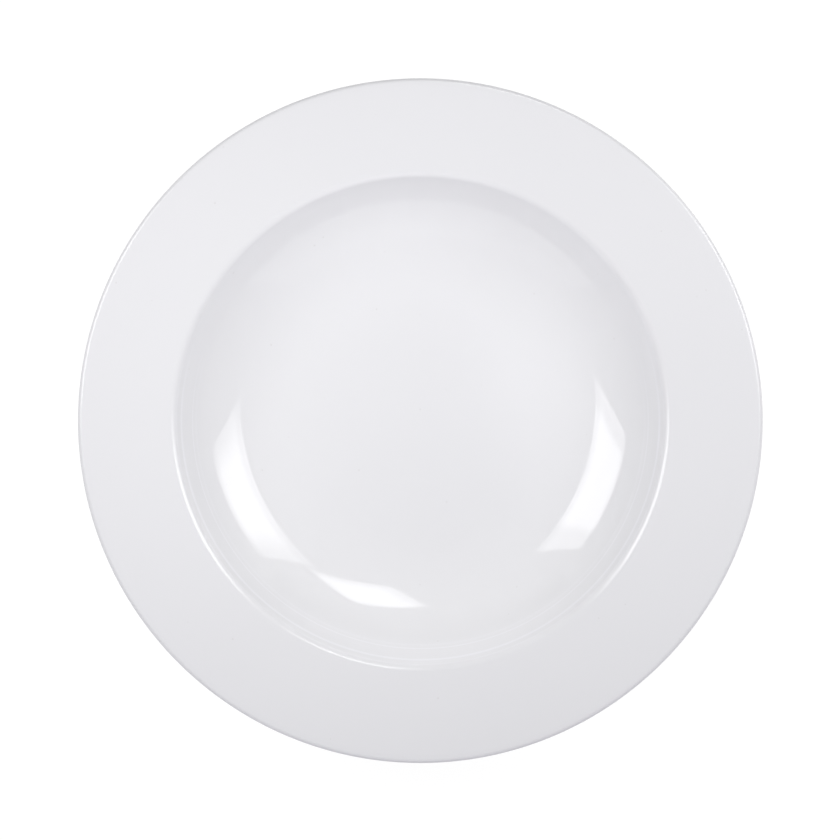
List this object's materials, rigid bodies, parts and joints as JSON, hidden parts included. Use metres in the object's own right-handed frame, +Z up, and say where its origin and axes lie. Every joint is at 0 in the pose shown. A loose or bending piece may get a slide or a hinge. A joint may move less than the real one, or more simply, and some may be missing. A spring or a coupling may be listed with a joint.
{
  "type": "rimmed soup plate",
  "caption": "Round glazed white porcelain soup plate with a broad, gently rising flat rim, a deep hollow well and a foot ring underneath.",
  "frame": {"origin": "centre of the foot ring's standing face", "axes": "+Z up through the middle of the well; X and Y along two diameters of the round plate, which has no front"},
  "size_m": [0.23, 0.23, 0.0339],
  "materials": {
    "bare_porcelain": "fired, unglazed and wiped smooth, matt off-white",
    "clear_glaze_over_white": "clear gloss glaze over cool white porcelain",
    "base_glaze_over_white": "clear gloss glaze over cool white porcelain, slightly greyer in the recess"
  },
  "bodies": {
    "root": {"porcelain_body": "bare_porcelain", "glaze_coat": "clear_glaze_over_white", "base_glaze": "base_glaze_over_white"}
  },
  "joints": []
}
